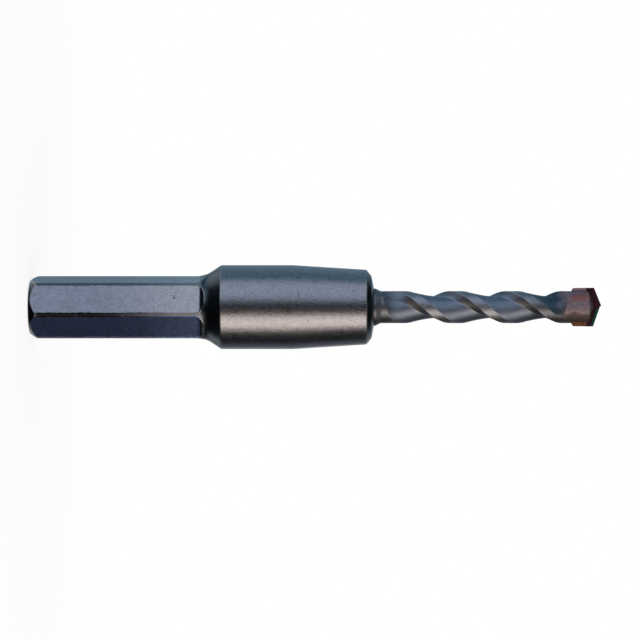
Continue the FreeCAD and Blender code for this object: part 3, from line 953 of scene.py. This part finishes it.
class ARBOR_OT_set_stage(bpy.types.Operator):
    """Make the floor, the cards, the lamp, the world and the camera."""

    bl_idname = "arbor.set_stage"
    bl_label = "Set the stage"

    def execute(self, context):
        settings = context.scene.arbor_stage
        self.lay_floor(settings)
        for name, first, last, low, high, colour in ROUND_CARDS:
            mesh = round_mesh(name, first, last, low, high)
            reflected_card(mesh, colour, Matrix.Identity(4))
        for name, forward, height, size, angle, colour in LEVEL_CARDS:
            turn = Matrix.Rotation(math.radians(CAMERA_BEARING + angle), 4, "Z")
            place = Matrix.Translation(around(0, forward, height)) @ turn
            reflected_card(square_mesh(name, size), colour, place)
        self.light_key(settings)
        self.light_world()
        self.place_camera(settings)
        context.scene.view_settings.view_transform = "Standard"
        return {"FINISHED"}

    def lay_floor(self, settings):
        """A pale floor that gives light and shows the object's shadow."""
        mesh = square_mesh("floor", FLOOR_SIZE)
        mesh.materials.append(self.floor_material(settings))
        floor = put("floor", mesh, Matrix.Identity(4))
        floor.visible_glossy = False
        floor.visible_shadow = False

    def floor_material(self, settings):
        """The floor glows to the camera, least near the object, where it shows the shadow."""
        material, graph, surface = empty_material("pale_floor")
        matt = graph.add("ShaderNodeBsdfDiffuse", (("Color", settings.floor),))
        glow = graph.add("ShaderNodeEmission", (("Color", WHITE), ("Strength", 1.0)))
        place = graph.add("ShaderNodeTexCoord").outputs["Object"]
        away = graph.add("ShaderNodeVectorMath", ((0, place),), operation="LENGTH").outputs["Value"]
        share = graph.mix_value(graph.step(away, *GLOW_GROWS), *FLOOR_GLOW)
        glowing = graph.times(seen_or_mirrored(graph), share)
        mixed = graph.add(
            "ShaderNodeMixShader", ((0, glowing), (1, matt.outputs[0]), (2, glow.outputs[0])))
        graph.feed(surface, mixed.outputs[0])
        return material

    def light_key(self, settings):
        """A soft warm light below the axis in the picture."""
        width = 2 * CARD_RADIUS * math.tan(math.radians(KEY_ARC / 2))
        tall = CARD_HIGH - CARD_LOW
        lamp = bpy.data.lights.new("warm_key", "AREA")
        lamp.shape = "RECTANGLE"
        lamp.size = width
        lamp.size_y = tall
        lamp.color = KEY_COLOUR
        lamp.energy = settings.key_level * WATTS_FOR_WHITE * width * tall
        middle = (CARD_LOW + CARD_HIGH) / 2
        made = put("warm_key", lamp, facing_axis(KEY_BEARING, CARD_RADIUS, middle))
        made.visible_camera = False

    def light_world(self):
        """White where it is seen or mirrored, and a softer grey as light."""
        world = bpy.data.worlds.new("studio")
        bpy.context.scene.world = world
        world.use_nodes = True
        world.node_tree.nodes.clear()
        world.cycles.sampling_method = "NONE"
        graph = Graph(world.node_tree)
        output = graph.add("ShaderNodeOutputWorld")
        strength = graph.line(seen_or_mirrored(graph), 1.0 - WORLD_LIGHT, WORLD_LIGHT)
        back = graph.add("ShaderNodeBackground", (("Color", WHITE), ("Strength", strength)))
        graph.feed(output.inputs["Surface"], back.outputs[0])

    def place_camera(self, settings):
        """Look level at the axis, rolled so that the shank lies at the picture's left."""
        back = around(0, 1, 0)
        right = Vector((0, 0, 1))
        up = back.cross(right)
        middle = right * MIDDLE_RIGHT - up * MIDDLE_DOWN
        place = Matrix.Translation(middle + back * settings.camera_distance)
        camera = bpy.data.cameras.new("camera")
        camera.lens = LENS
        camera.clip_start = NEAREST
        camera.clip_end = FARTHEST
        bpy.context.scene.camera = put("camera", camera, place @ aligned(right, up, back))


class ARBOR_PT_panel(bpy.types.Panel):
    """Lists the steps and their settings."""

    bl_label = "Hole saw arbor"
    bl_idname = "ARBOR_PT_panel"
    bl_space_type = "VIEW_3D"
    bl_region_type = "UI"
    bl_category = "Arbor"

    def draw(self, context):
        for name, settings, step in (
            ("Body", "arbor_steel", "arbor.finish_body"),
            ("Pilot drill", "arbor_drill", "arbor.finish_drill"),
            ("Tip", "arbor_tip", "arbor.finish_tip"),
            ("Stage", "arbor_stage", "arbor.set_stage"),
        ):
            box = self.layout.box()
            box.label(text=name)
            group = getattr(context.scene, settings)
            for item in group.__annotations__:
                box.prop(group, item)
            box.operator(step)


CLASSES = (
    ArborSteelSettings,
    PilotDrillSettings,
    TipSettings,
    StageSettings,
    ARBOR_OT_finish_body,
    ARBOR_OT_finish_drill,
    ARBOR_OT_finish_tip,
    ARBOR_OT_set_stage,
    ARBOR_PT_panel,
)

SETTINGS = (
    ("arbor_steel", ArborSteelSettings),
    ("arbor_drill", PilotDrillSettings),
    ("arbor_tip", TipSettings),
    ("arbor_stage", StageSettings),
)


def register():
    for item in CLASSES:
        bpy.utils.register_class(item)
    for name, group in SETTINGS:
        setattr(bpy.types.Scene, name, PointerProperty(type=group))


def unregister():
    for name, group in SETTINGS:
        delattr(bpy.types.Scene, name)
    for item in reversed(CLASSES):
        bpy.utils.unregister_class(item)


def main():
    """Dress the frame and set the stage."""
    register()
    bpy.ops.arbor.finish_body()
    bpy.ops.arbor.finish_drill()
    bpy.ops.arbor.finish_tip()
    bpy.ops.arbor.set_stage()


if __name__ == "__main__":
    main()
